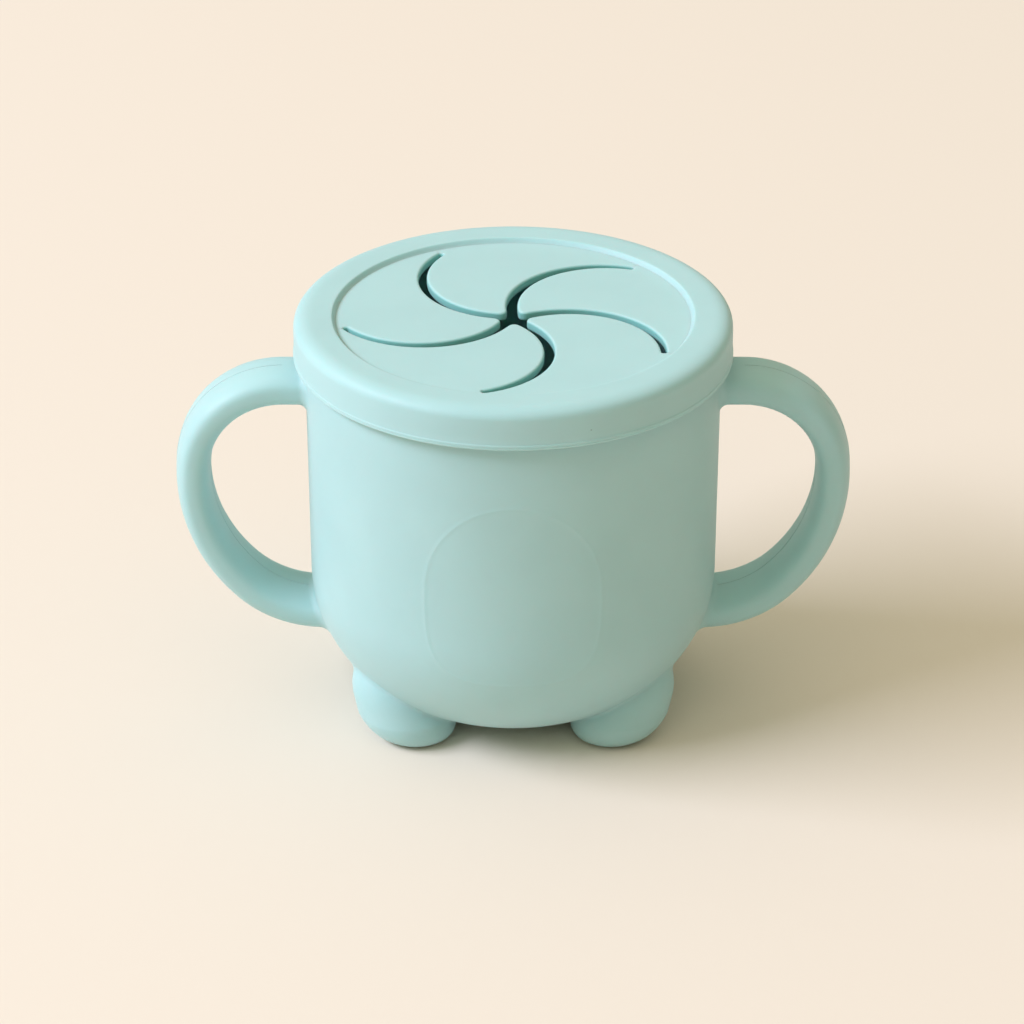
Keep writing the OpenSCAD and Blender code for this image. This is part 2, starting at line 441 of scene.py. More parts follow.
@dataclass(frozen=True)
class BellyPanel:
    """Flattened panel on the cup's front: half an ellipse above a squarer lower half, in a fine line."""

    centre_z: float
    half_w: float = 17.9
    rise: float = 20.5
    fall: float = 20.6
    square: float = 3.5
    depth: float = 0.4
    lip: float = 0.05
    lip_reach: float = 0.45
    far: float = 100.0

    def depth_at(self, points: Points) -> Points:
        """Gives how far the cup's surface is sunk at some points.

        Args:
            points: Points as rows.

        Returns:
            The depths, which are below zero on the lip.
        """
        across = np.abs(points[:, 0]) / self.half_w
        lift, reach, power = self._upright(points)
        level = (across**power + (np.abs(lift) / reach) ** power) ** (1 / power)
        sunk = np.where(points[:, 1] < 0, self.depth * np.maximum(1 - level**2, 0.0), 0.0)
        return sunk - self.lip * np.exp(-((self.away(points) / self.lip_reach) ** 2))

    def away(self, points: Points) -> Points:
        """Signed distance to the panel's outline as the front shows it, large behind the cup's middle."""
        lift, reach, power = self._upright(points)
        outline = superellipse(points[:, 0], lift, self.half_w, reach, power)
        return np.where(points[:, 1] < 0, outline, self.far)

    def _upright(self, points: Points) -> tuple[Points, Points, Points]:
        """Gives the points' height over the panel's middle, and its reach and squareness on that side."""
        lift = points[:, 2] - self.centre_z
        return lift, np.where(lift > 0, self.rise, self.fall), np.where(lift > 0, 2.0, self.square)


@dataclass(frozen=True)
class CupBody:
    """Round cup with a coned side, a rounded lower corner and a flat underside."""

    rim_r: float
    rim_z: float
    low_z: float
    draft: float = 0.5
    corner_r: float = 29.0

    def outline(self, points: Points, inset: float = 0.0) -> Points:
        """Signed distance to the cup's outline, which is open above the rim.

        Args:
            points: Points as rows.
            inset: How far the outline is drawn in.

        Returns:
            The distances, negative inside.
        """
        radius = np.hypot(points[:, 0], points[:, 1])
        height = points[:, 2]
        corner_z = self.low_z + self.corner_r
        low_r = self.rim_r - self.draft
        corner_x = low_r - self.corner_r
        lean = self.draft / (self.rim_z - corner_z)
        side = radius - low_r + inset - lean * (height - corner_z)
        down = np.minimum(height - corner_z, 0.0)
        corner = np.hypot(np.maximum(radius - corner_x, 0.0), down) - self.corner_r + inset
        return np.where(height >= corner_z, side, corner)


@dataclass(frozen=True)
class HandleLoop:
    """Loop handle: a flattened bar along two straight ends and three bends in the cup's middle plane."""

    side: Side
    root_r: float
    start_x: float
    top_z: float
    low_z: float
    top_w: float = 14.0
    low_w: float = 17.6
    top_t: float = 7.2
    low_t: float = 6.8
    upper_bend_r: float = 18.7
    lower_bend_r: float = 22.8
    upper_bend: float = 85.0
    grip_bend: float = 50.0
    square: float = 2.78

    def bends(self) -> list[tuple[Points, float, float, float]]:
        """Gives each bend's centre, radius, first heading and last heading, from the top down."""
        turn = self.upper_bend + self.grip_bend
        first, last = math.cos(math.radians(self.upper_bend)), math.cos(math.radians(turn))
        taken = self.upper_bend_r * (1 - first) + self.lower_bend_r * (1 + last)
        grip_r = (self.top_z - self.low_z - taken) / (first - last)
        radii = [self.upper_bend_r, grip_r, self.lower_bend_r]
        headings = [0.0, self.upper_bend, turn, 180.0]
        place = np.array([self.start_x, self.top_z])
        result = []
        for radius, start, end in zip(radii, headings, headings[1:]):
            centre = place - radius * outward(start)
            place = centre + radius * outward(end)
            result.append((centre, radius, start, end))
        return result

    def section(self, heading: Points) -> tuple[Points, Points]:
        """Gives the bar's width and thickness at a heading of its line."""
        share = heading / 180
        width = self.top_w + (self.low_w - self.top_w) * share
        return width, self.top_t + (self.low_t - self.top_t) * share

    def distance(self, points: Points) -> Points:
        """Signed distance to the handle.

        Args:
            points: Points as rows.

        Returns:
            The distances, negative inside.
        """
        x = points[:, 0] * self.side.value
        z = points[:, 2]
        bends = self.bends()
        end_x = (bends[-1][0] + bends[-1][1] * outward(180.0))[0]
        best = np.full(len(x), np.inf)
        lift = np.zeros(len(x))
        heading = np.zeros(len(x))
        for level, reach, turn in ((self.top_z, self.start_x, 0.0), (self.low_z, end_x, 180.0)):
            away = np.hypot(np.maximum(x - reach, 0.0), z - level)
            nearer = away < best
            best = np.where(nearer, away, best)
            lift = np.where(nearer, (z - level) * (1 if turn == 0 else -1), lift)
            heading = np.where(nearer, turn, heading)
        for centre, radius, start, end in bends:
            angle = np.degrees(np.arctan2(x - centre[0], z - centre[1]))
            angle = np.clip(np.where(angle < -90, angle + 360, angle), start, end)
            out_x, out_z = np.sin(np.radians(angle)), np.cos(np.radians(angle))
            off_x, off_z = x - centre[0] - radius * out_x, z - centre[1] - radius * out_z
            away = np.hypot(off_x, off_z)
            nearer = away < best
            best = np.where(nearer, away, best)
            lift = np.where(nearer, off_x * out_x + off_z * out_z, lift)
            heading = np.where(nearer, angle, heading)
        width, thickness = self.section(heading)
        bar = superellipse(lift, points[:, 1], thickness / 2, width / 2, self.square)
        return np.maximum(bar, self.root_r - x)

    def seam(self, face: float, steps: int = 60) -> Line:
        """Gives the middle line of the handle's outer or inner face.

        Args:
            face: 1 for the outer face and -1 for the inner face.
            steps: Number of stretches along each bend.

        Returns:
            The line's points, from the upper root to the lower one.
        """
        line = []
        for centre, radius, start, end in self.bends():
            # The first point of a later bend is the last one of the bend before
            for i in range(1 if line else 0, steps + 1):
                heading = start + (end - start) * i / steps
                half = self.section(np.array(heading))[1] / 2
                place = centre + (radius + face * float(half)) * outward(heading)
                line.append((self.side.value * place[0], 0.0, place[1]))
        return line


def outward(heading: float) -> Points:
    """Gives the outward direction of a handle's line at a heading, 0 at the top and 180 at the bottom."""
    return np.array([math.sin(math.radians(heading)), math.cos(math.radians(heading))])


@dataclass(frozen=True)
class StubFoot:
    """Stub foot that leans outwards as it rises and ends in a well rounded bottom edge."""

    side: Side
    face: Face
    base_x: float = 19.9
    base_y: float = 19.6
    lean_x: float = 0.46
    lean_y: float = -0.19
    radius: float = 9.95
    corner: float = 7.0
    square: float = 2.8
    taper_z: float = 5.3
    taper: float = 0.21
    waist_z: float = 9.0
    waist: float = 0.06
    top_z: float = 16.0

    def distance(self, points: Points) -> Points:
        """Signed distance to the foot, negative inside."""
        height = points[:, 2]
        away_x = points[:, 0] * self.side.value - self.base_x - self.lean_x * height
        away_y = points[:, 1] * self.face.value - self.base_y - self.lean_y * height
        girth = self.radius - self.taper * np.maximum(height - self.taper_z, 0.0)
        girth = girth - self.waist * np.maximum(height - self.waist_z, 0.0) ** 2
        out = np.maximum(np.hypot(away_x, away_y) - girth + self.corner, 0.0)
        down = np.maximum(self.corner - height, 0.0)
        stub = (out**self.square + down**self.square) ** (1 / self.square) - self.corner
        return np.maximum(stub, height - self.top_z)


@dataclass
class CupMoulding:
    """The cup with its handles and feet, one moulding without a joint in it."""

    wall: float = 2.2
    rim_round: float = 0.8
    top_fillet: float = 1.8
    low_fillet: float = 1.7
    fillet_start: float = 8.0
    fillet_span: float = 30.0
    foot_crease: float = 0.9
    stub: float = 4.7
    root_share: float = 0.8
    panel_lift: float = 42.2
    cell: float = 1.18
    net_margin: float = 1.3
    turns: tuple[float, float] = (18.0, 15.0)
    line_bands: tuple[float, float] = (1.8, 1.2)
    body: CupBody = field(init=False)
    panel: BellyPanel = field(init=False)
    handles: list[HandleLoop] = field(init=False)
    feet: list[StubFoot] = field(init=False)

    def __post_init__(self) -> None:
        """Takes the driving sizes from the frame."""
        low, high = node_box("cup_shell")
        self.body = CupBody(rim_r=float(high[0]), rim_z=float(high[2]), low_z=float(low[2]))
        self.panel = BellyPanel(centre_z=self.body.low_z + self.panel_lift)
        base, top = node_box("right_handle")
        self.handles = [
            HandleLoop(
                side=side,
                root_r=self.body.rim_r * self.root_share,
                start_x=self.body.rim_r + self.stub,
                top_z=float(top[2]) - HandleLoop.top_t / 2,
                low_z=float(base[2]) + HandleLoop.low_t / 2,
            )
            for side in Side
        ]
        self.feet = [StubFoot(side, face) for side in Side for face in Face]

    def distance(self, points: Points) -> Points:
        """Signed distance to the whole moulding, negative inside."""
        height = points[:, 2]
        outer = self.body.outline(points) + self.panel.depth_at(points)
        share = soft_step((height - self.handles[0].low_z - self.fillet_start) / self.fillet_span)
        fillet = self.low_fillet + (self.top_fillet - self.low_fillet) * share
        solid = round_union([outer] + [h.distance(points) for h in self.handles], fillet)
        solid = round_union([solid] + [f.distance(points) for f in self.feet], self.foot_crease)
        hollow = self.body.outline(points, self.wall)
        return round_overlap([solid, height - self.body.rim_z, -hollow], self.rim_round)

    def build(self, finish: "Silicone") -> bpy.types.Object:
        """Builds the moulding as one closed mesh that rides on the cup.

        Args:
            finish: Finish of the cup.

        Returns:
            The piece.
        """
        margin = self.net_margin * self.cell
        reach_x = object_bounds()[1][0] / MM + margin
        reach_y = self.body.rim_r + margin
        net = SurfaceNet(
            shape=self.distance,
            low=(-reach_x, -reach_y, -margin),
            high=(reach_x, reach_y, self.body.rim_z + margin),
            cell=self.cell,
        )
        mesh = ShapedMesh.from_net(net)
        for turn in self.turns:
            mesh.refine(turn, self.cell / 4)
        for within in self.line_bands:
            mesh.refine_near(self.panel.away, within, self.cell / 4)
        piece = mesh.to_object("cup_moulding", finish.material())
        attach(piece, "cup")
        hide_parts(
            "cup_shell",
            "left_handle",
            "right_handle",
            "front_left_foot",
            "front_right_foot",
            "rear_left_foot",
            "rear_right_foot",
        )
        return piece


@dataclass
class PetalSheet:
    """The lid's flat middle: one sheet slit into five petals, cut into a piece for each petal."""

    slit_w: float = 2.3
    slit_taper: float = 0.5
    slit_r: float = 19.0
    slit_offset: float = 19.6
    slit_turn: float = 233.4
    slit_sweep: float = 125.0
    tip_reach: float = 12.0
    tip_round: float = 1.9
    edge_round: float = 0.5
    outer_r: float = 37.0
    cell: float = 0.3
    net_margin: float = 1.5
    cut_cells: float = 3.0
    snap: float = 1e-5
    petals: int = 5
    bend_out: float = 1.2
    bend_in: float = 2.6
    top_z: float = field(init=False)
    low_z: float = field(init=False)

    def __post_init__(self) -> None:
        """Takes the sheet's place from the frame."""
        low, high = node_box("flap_1")
        self.low_z, self.top_z = float(low[2]), float(high[2])

    @property
    def pitch(self) -> float:
        """Angle from one slit to the next."""
        return 360 / self.petals

    def slit_end(self, number: int) -> Points:
        """Gives the middle of the round outer end of a slit."""
        turn = self.slit_turn + number * self.pitch
        return turned(self.slit_offset, turn) + turned(self.slit_r, turn - 180 - self.slit_sweep)

    def slit_circle(self, points: Points, number: int) -> Points:
        """Signed distance to the circle that a slit runs along, negative inside it."""
        centre = turned(self.slit_offset, self.slit_turn + number * self.pitch)
        return np.hypot(points[:, 0] - centre[0], points[:, 1] - centre[1]) - self.slit_r

    def slit_distance(self, points: Points, number: int) -> Points:
        """Signed distance to a slit in plan, negative in the slit.

        Args:
            points: Points as rows.
            number: Which slit, from 0.

        Returns:
            The distances.
        """
        turn = self.slit_turn + number * self.pitch
        away = points[:, :2] - turned(self.slit_offset, turn)
        along = self.slit_along(points, number)
        where = np.radians(turn - 180 - along)
        off = away - self.slit_r * np.column_stack([np.cos(where), np.sin(where)])
        return np.hypot(off[:, 0], off[:, 1]) - self.half_slit(along)

    def slit_along(self, points: Points, number: int) -> Points:
        """Gives how far along a slit its place nearest each point lies, as an angle from the middle."""
        turn = self.slit_turn + number * self.pitch
        away = points[:, :2] - turned(self.slit_offset, turn)
        angle = np.degrees(np.arctan2(away[:, 1], away[:, 0]))
        return np.clip((turn - angle) % 360 - 180, 0.0, self.slit_sweep)

    def half_slit(self, along: Points) -> Points:
        """Gives half the width of a slit, which narrows towards its outer end."""
        return self.slit_w / 2 * (1 - self.slit_taper * (along / self.slit_sweep) ** 2)

    def plan(self, points: Points) -> Points:
        """Signed distance in plan to the sheet between its slits, negative in the sheet."""
        circles = [self.slit_circle(points, k) for k in range(self.petals)]
        halves = [self.half_slit(self.slit_along(points, k)) for k in range(self.petals)]
        tips = []
        for k in range(self.petals):
            following = (k + 1) % self.petals
            sides = [halves[k] - circles[k], circles[following] + halves[following]]
            tips.append(round_overlap(sides, self.tip_round))
        slits = [self.slit_distance(points, k) for k in range(self.petals)]
        radius = np.hypot(points[:, 0], points[:, 1])
        return np.where(radius < self.tip_reach, np.min(tips, axis=0), -np.min(slits, axis=0))

    def distance(self, points: Points) -> Points:
        """Signed distance to the slit sheet, negative inside."""
        middle = (self.top_z + self.low_z) / 2
        faces = np.abs(points[:, 2] - middle) - (self.top_z - self.low_z) / 2
        sheet = round_overlap([faces, self.plan(points)], self.edge_round)
        return np.maximum(sheet, np.hypot(points[:, 0], points[:, 1]) - self.outer_r)

    def build(self, finish: "Silicone") -> list[bpy.types.Object]:
        """Builds the five pieces, one for each petal.

        Args:
            finish: Finish of the lid.

        Returns:
            The pieces in the order of the petals.
        """
        margin = self.net_margin * self.cell
        reach = self.outer_r + margin
        net = SurfaceNet(
            shape=self.distance,
            low=(-reach, -reach, self.low_z - margin),
            high=(reach, reach, self.top_z + margin),
            cell=self.cell,
        )
        sheet = ShapedMesh.from_net(net)
        for number in range(self.petals):
            self._part(sheet.mesh, number)
        bmesh.ops.holes_fill(sheet.mesh, edges=[e for e in sheet.mesh.edges if e.is_boundary], sides=0)
        material = finish.material()
        pieces = []
        for number, loose in enumerate(self._islands(sheet.mesh)):
            piece = ShapedMesh(self.distance, loose).to_object(f"petal_{number + 1}", material)
            self._mark_wall_shade(piece.data)
            self._hang(piece, number)
            pieces.append(piece)
        sheet.mesh.free()
        return pieces

    def _mark_wall_shade(self, data: bpy.types.Mesh) -> None:
        """Marks the slits' walls between the sheet's two faces, where a darker teal is painted as the shade
        between the petals.
        """
        heights = np.array([v.co.z for v in data.vertices]) / MM
        inset = np.minimum(self.top_z - heights, heights - self.low_z)
        marks = data.attributes.new(WALL_SHADE_MARK, "FLOAT", "POINT")
        marks.data.foreach_set("value", soft_step(inset / self.edge_round).astype(np.float32))

    def _part(self, mesh: bmesh.types.BMesh, number: int) -> None:
        """Parts the sheet along the radius from a slit's outer end to the rim."""
        end = self.slit_end(number)
        start = np.linalg.norm(end)
        unit = end / start
        across = np.array([-unit[1], unit[0]])
        near = []
        for face in mesh.faces:
            place = np.array(face.calc_center_median()[:2])
            if place @ unit > start and abs(place @ across) < self.cut_cells * self.cell:
                near.append(face)
        edges = dict.fromkeys(e for f in near for e in f.edges)
        verts = dict.fromkeys(v for f in near for v in f.verts)
        cut = bmesh.ops.bisect_plane(
            mesh,
            geom=[*near, *edges, *verts],
            dist=self.snap,
            plane_co=(0, 0, 0),
            plane_no=(across[0], across[1], 0),
        )
        seam = [e for e in cut["geom_cut"] if isinstance(e, bmesh.types.BMEdge)]
        bmesh.ops.split_edges(mesh, edges=seam)

    def _islands(self, mesh: bmesh.types.BMesh) -> list[bmesh.types.BMesh]:
        """Sorts the parted sheet into a mesh for each petal."""
        result = []
        todo = set(mesh.faces)
        found: dict[int, set] = {}
        while todo:
            island = {todo.pop()}
            front = list(island)
            while front:
                face = front.pop()
                for link in (f for e in face.edges for f in e.link_faces):
                    if link in todo:
                        todo.discard(link)
                        island.add(link)
                        front.append(link)
            centre = sum((f.calc_center_median() for f in island), Vector()) / len(island)
            found.setdefault(self._nearest_petal(centre), set()).update(island)
        for number in range(self.petals):
            copy = mesh.copy()
            copy.faces.ensure_lookup_table()
            mesh.faces.index_update()
            keep = {f.index for f in found[number]}
            waste = [f for i, f in enumerate(copy.faces) if i not in keep]
            bmesh.ops.delete(copy, geom=waste, context="FACES")
            result.append(copy)
        return result

    def hinge(self, number: int) -> tuple[Points, Points]:
        """Gives the middle of a petal's hinge line and the outward direction there, in plan."""
        middle = (self.slit_end(number) + self.slit_end(number + 1)) / 2
        return middle, middle / np.linalg.norm(middle)

    def _nearest_petal(self, centre: Vector) -> int:
        """Gives the number of the petal whose hinge lies nearest the direction of a point."""
        place = np.array([centre.x, centre.y])
        return int(np.argmax([place @ self.hinge(k)[1] for k in range(self.petals)]))

    def _hang(self, piece: bpy.types.Object, number: int) -> None:
        """Bakes a piece's place into its mesh and hides the flap that it replaces; the hinge's two ends are
        worked out but not used.
        """
        middle, out = self.hinge(number)
        height = (self.top_z + self.low_z) / 2
        start = [*(middle + self.bend_out * out), height]
        end = [*(middle - self.bend_in * out), height]
        node = f"flap_{number + 1}"
        [v * MM for v in start]
        [v * MM for v in end]
        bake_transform(piece)
        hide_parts(node)


@dataclass
class LidRim:
    """The lid's rim, turned from one profile: recess edge, shoulder, skirt with a rolled lip, and seal."""

    recess_r: float = 36.1
    recess_w: float = 1.05
    crown_h: float = 0.03
    shoulder_w: float = 3.8
    shoulder_h: float = 2.5
    shoulder_square: float = 2.3
    skirt_t: float = 2.1
    skirt_round: float = 0.4
    lip_h: float = 1.1
    lip_step: float = 0.14
    lip_round: float = 0.35
    lip_outline: tuple[tuple[float, float], ...] = (
        (0.14, 1.4),
        (0.14, 0.1),
        (0.11, -0.02),
        (0.02, -0.1),
        (0.0, -0.2),
        (0.0, -0.46),
        (0.07, -0.52),
        (0.07, -0.58),
    )
    seal_in_r: float = 38.3
    seal_out_r: float = 40.3
    seal_h: float = 4.0
    seal_round: float = 0.8
    play: float = 0.03
    steps: int = 12
    shoulder_steps: int = 16
    corner_steps: int = 6
    segments: int = 288
    outer_r: float = field(init=False)
    top_z: float = field(init=False)
    low_z: float = field(init=False)
    sheet_z: tuple[float, float] = field(init=False)

    def __post_init__(self) -> None:
        """Takes the driving sizes from the frame."""
        low, high = node_box("lid_ring")
        self.outer_r, self.low_z, self.top_z = float(high[0]), float(low[2]), float(high[2])
        low, high = node_box("flap_1")
        self.sheet_z = (float(low[2]), float(high[2]))

    def profile(self) -> Outline:
        """Gives the rim's closed outline as radius and height, from the recess outwards and round."""
        return [*self._top(), *self._skirt(), *self._underside()]

    def _top(self) -> Outline:
        """Gives the outline from the recess over the flat ring and the shoulder to the skirt."""
        crown_r = self.recess_r + self.recess_w
        skirt_r = self.outer_r - self.lip_step
        foot = self.sheet_z[1] - self.play
        crown = self.top_z - self.crown_h
        shares = np.arange(self.steps + 1) / self.steps
        lifts = soft_step(shares)
        edge = np.column_stack([self.recess_r + self.recess_w * shares, foot + (crown - foot) * lifts])
        reach = skirt_r - self.shoulder_w - crown_r
        ring = np.column_stack([crown_r + reach * shares, crown + self.crown_h * lifts])[1:-1]
        outline = [(float(radius), float(height)) for radius, height in [*edge, *ring]]
        power = 2 / self.shoulder_square
        for across, up in arc((0.0, 0.0), 1.0, 90, 0, self.shoulder_steps):
            radius = skirt_r - self.shoulder_w * (1 - abs(across) ** power)
            outline.append((radius, self.top_z - self.shoulder_h * (1 - abs(up) ** power)))
        return outline

    def _skirt(self) -> Outline:
        """Gives the outline down the skirt, over its lip and up to the sheet's underside."""
        inner = self.outer_r - self.skirt_t
        lip_z = self.low_z + self.lip_h
        outline = [(self.outer_r - inset, lip_z + rise) for inset, rise in self.lip_outline]
        outline += self._corner(self.outer_r - self.lip_round, 0, self.lip_round)
        outline += self._corner(inner + self.skirt_round, -90, self.skirt_round)
        outline.append((inner, self.sheet_z[0] + self.play))
        return outline

    def _underside(self) -> Outline:
        """Gives the outline along the underside and round the seal, back to the recess."""
        under = self.sheet_z[0]
        drop = under - self.seal_h - self.low_z
        outline = [(self.seal_out_r, under + self.play)]
        outline += self._corner(self.seal_out_r - self.seal_round, 0, self.seal_round, drop)
        outline += self._corner(self.seal_in_r + self.seal_round, -90, self.seal_round, drop)
        outline += [(self.seal_in_r, under), (self.recess_r, under)]
        return outline

    def _corner(self, centre_r: float, start: float, radius: float, lift: float = 0.0) -> Outline:
        """Gives a quarter round at the bottom of the skirt, or lifted to the bottom of the seal."""
        return arc((centre_r, self.low_z + lift + radius), radius, start, start - 90, self.corner_steps)

    def build(self, finish: "Silicone", lathe: "Lathe") -> bpy.types.Object:
        """Turns the profile into the rim, which rides on the lid.

        Args:
            finish: Finish of the lid.
            lathe: Node tree that turns a profile.

        Returns:
            The piece.
        """
        piece = lathe.turn("lid_rim", self.profile(), self.segments, finish.material())
        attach(piece, "lid")
        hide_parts("lid_ring")
        return piece


@dataclass
class TreeMaker:
    """Adds nodes to a node tree, settings first and then the values or links of their sockets."""

    tree: bpy.types.NodeTree

    def add(self, kind: str, settings: dict | None = None, inputs: dict | None = None) -> Any:
        """Adds a node.

        Args:
            kind: The node's type.
            settings: Properties of the node.
            inputs: Values, sockets or wires by socket name or number.

        Returns:
            The node.
        """
        node = self.tree.nodes.new(kind)
        for name, value in (settings or {}).items():
            setattr(node, name, value)
        for key, value in (inputs or {}).items():
            if isinstance(value, Wire):
                value = value.socket
            if isinstance(value, bpy.types.NodeSocket):
                self.tree.links.new(value, node.inputs[key])
            else:
                node.inputs[key].default_value = value
        return node

    def wire(
        self, kind: str, output: Any, settings: dict | None = None, inputs: dict | None = None
    ) -> "Wire":
        """Adds a node and gives one of its outputs as a wire."""
        return Wire(self, self.add(kind, settings, inputs).outputs[output])

    def mix(self, share: "Wire", first: Any, second: Any) -> "Wire":
        """Mixes two colours: the first where the share is 0 and the second where it is 1."""
        # A Mix node takes its share at socket 0 and its colours at 6 and 7, and gives the colour at 2
        return self.wire("ShaderNodeMix", 2, {"data_type": "RGBA"}, {0: share, 6: first, 7: second})


@dataclass(frozen=True)
class Wire:
    """A number that runs between shader nodes and can be written in sums and products."""

    maker: TreeMaker
    socket: Any

    def _math(self, operation: str, first: Any, second: Any) -> "Wire":
        """Adds a Math node."""
        return self.maker.wire("ShaderNodeMath", 0, {"operation": operation}, {0: first, 1: second})

    def __add__(self, other: Any) -> "Wire":
        """Sum with a wire or number."""
        return self._math("ADD", self, other)

    __radd__ = __add__

    def __mul__(self, other: Any) -> "Wire":
        """Product with a wire or number."""
        return self._math("MULTIPLY", self, other)

    __rmul__ = __mul__

    def __sub__(self, other: Any) -> "Wire":
        """Difference from a wire or number."""
        return self._math("SUBTRACT", self, other)

    def __rsub__(self, other: Any) -> "Wire":
        """A number less this wire."""
        return self._math("SUBTRACT", other, self)

    def __gt__(self, other: Any) -> "Wire":
        """1 where this is greater than the other, else 0."""
        return self._math("GREATER_THAN", self, other)

    def ramp(self, low: float, high: float) -> "Wire":
        """Rises smoothly from 0 at low to 1 at high."""
        settings = {"interpolation_type": "SMOOTHSTEP"}
        inputs = {"Value": self, "From Min": low, "From Max": high}
        return self.maker.wire("ShaderNodeMapRange", 0, settings, inputs)


@dataclass
class GeometryTree:
    """A Geometry Nodes tree with named inputs, applied to an object and turned into a plain mesh."""

    name: str
    inputs: dict[str, str]
    tree: bpy.types.NodeTree = field(init=False)
    maker: TreeMaker = field(init=False)
    source: Any = field(init=False)

    def __post_init__(self) -> None:
        """Starts the tree with its group sockets."""
        self.tree = bpy.data.node_groups.new(self.name, "GeometryNodeTree")
        face = self.tree.interface
        face.new_socket("Geometry", in_out="INPUT", socket_type="NodeSocketGeometry")
        for label, kind in self.inputs.items():
            face.new_socket(label, in_out="INPUT", socket_type=kind)
        face.new_socket("Geometry", in_out="OUTPUT", socket_type="NodeSocketGeometry")
        self.maker = TreeMaker(self.tree)
        self.source = self.maker.add("NodeGroupInput")

    def close(self, geometry: Any) -> None:
        """Ends the tree: instances made real, the material set, then the output."""
        real = self.maker.add("GeometryNodeRealizeInstances", None, {"Geometry": geometry})
        dressed = self.maker.add(
            "GeometryNodeSetMaterial",
            None,
            {"Geometry": real.outputs[0], "Material": self.source.outputs["Material"]},
        )
        self.maker.add("NodeGroupOutput", None, {"Geometry": dressed.outputs[0]})

    def apply(
        self, name: str, lines: list[Line], closed: bool, values: dict[str, Any]
    ) -> bpy.types.Object:
        """Runs the tree over lines and keeps the result as a plain mesh.

        Args:
            name: Name of the piece.
            lines: Points of each line in metres.
            closed: Whether each line ends where it starts.
            values: Value of each named input.

        Returns:
            The piece, with no modifier left on it.
        """
        mesh = bpy.data.meshes.new(name + "_lines")
        points: list[tuple] = []
        edges: list[tuple[int, int]] = []
        for line in lines:
            first = len(points)
            points += line
            last = len(points) - 1
            edges += [(i, i + 1) for i in range(first, last)]
            if closed:
                edges.append((last, first))
        mesh.from_pydata(points, edges, [])
        piece = bpy.data.objects.new(name, mesh)
        bpy.context.scene.collection.objects.link(piece)
        modifier = piece.modifiers.new(self.name, "NODES")
        modifier.node_group = self.tree
        for item in self.tree.interface.items_tree:
            if item.in_out == "INPUT" and item.name in values:
                modifier[item.identifier] = values[item.name]
        ready = piece.evaluated_get(bpy.context.evaluated_depsgraph_get())
        made = bpy.data.meshes.new_from_object(ready)
        piece.modifiers.clear()
        piece.data = made
        bpy.data.meshes.remove(mesh)
        made.name = name
        for face in made.polygons:
            face.use_smooth = True
        made.set_sharp_from_angle(angle=math.radians(SHARP_ANGLE))
        return piece


class Lathe(GeometryTree):
    """Turns a profile round the cup's axis."""

    def __init__(self) -> None:
        """Builds the tree: the profile is swept along a circle."""
        kinds = {"Radius": "NodeSocketFloat", "Segments": "NodeSocketInt", "Material": "NodeSocketMaterial"}
        super().__init__("turned_profile", kinds)
        ports = self.source.outputs
        circle = self.maker.add(
            "GeometryNodeCurvePrimitiveCircle",
            None,
            {"Resolution": ports["Segments"], "Radius": ports["Radius"]},
        )
        upright = self.maker.add(
            "GeometryNodeSetCurveNormal", {"mode": "Z_UP"}, {"Curve": circle.outputs[0]}
        )
        profile =self.maker.add("GeometryNodeMeshToCurve", None, {"Mesh": ports["Geometry"]})
        turned_mesh = self.maker.add(
            "GeometryNodeCurveToMesh",
            None,
            {"Curve": upright.outputs[0], "Profile Curve": profile.outputs[0]},
        )
        self.close(turned_mesh.outputs[0])

    def turn(
        self, name: str, profile: Outline, segments: int, material: bpy.types.Material
    ) -> bpy.types.Object:
        """Turns a closed profile of radius and height.

        Args:
            name: Name of the piece.
            profile: Radius and height of each point in millimetres.
            segments: Number of stretches round the axis.
            material: Finish of the piece.

        Returns:
            The piece.
        """
        middle = profile[0][0]
        line = [((radius - middle) * MM, -height * MM, 0.0) for radius, height in profile]
        values = {"Radius": middle * MM, "Segments": segments, "Material": material}
        piece = self.apply(name, [line], True, values)
        if signed_volume(piece.data) < 0:
            piece.data.flip_normals()
        return piece


def signed_volume(mesh: bpy.types.Mesh) -> float:
    """Gives the signed volume of a closed mesh, positive where its faces point outwards."""
    held = bmesh.new()
    held.from_mesh(mesh)
    volume = held.calc_volume(signed=True)
    held.free()
    return volume


class Seam(GeometryTree):
    """Lays a fine round bead along lines, as the halves of a mould leave it."""

    bead_r = 0.08
    sides = 8

    def __init__(self) -> None:
        """Builds the tree: a small circle is swept along each line."""
        kinds = {
            "Bead radius": "NodeSocketFloat",
            "Sides": "NodeSocketInt",
            "Material": "NodeSocketMaterial",
        }
        super().__init__("mould_seam", kinds)
        ports = self.source.outputs
        line = self.maker.add("GeometryNodeMeshToCurve", None, {"Mesh": ports["Geometry"]})
        bead = self.maker.add(
            "GeometryNodeCurvePrimitiveCircle",
            None,
            {"Resolution": ports["Sides"], "Radius": ports["Bead radius"]},
        )
        swept = self.maker.add(
            "GeometryNodeCurveToMesh",
            None,
            {"Curve": line.outputs[0], "Profile Curve": bead.outputs[0], "Fill Caps": True},
        )
        self.close(swept.outputs[0])

    def lay(self, name: str, lines: list[Line], material: bpy.types.Material) -> bpy.types.Object:
        """Lays beads along lines.

        Args:
            name: Name of the piece.
            lines: Points of each line in millimetres.
            material: Finish of the piece.

        Returns:
            The piece.
        """
        scaled = [[(x * MM, y * MM, z * MM) for x, y, z in line] for line in lines]
        values = {"Bead radius": self.bead_r * MM, "Sides": self.sides, "Material": material}
        return self.apply(name, scaled, False, values)


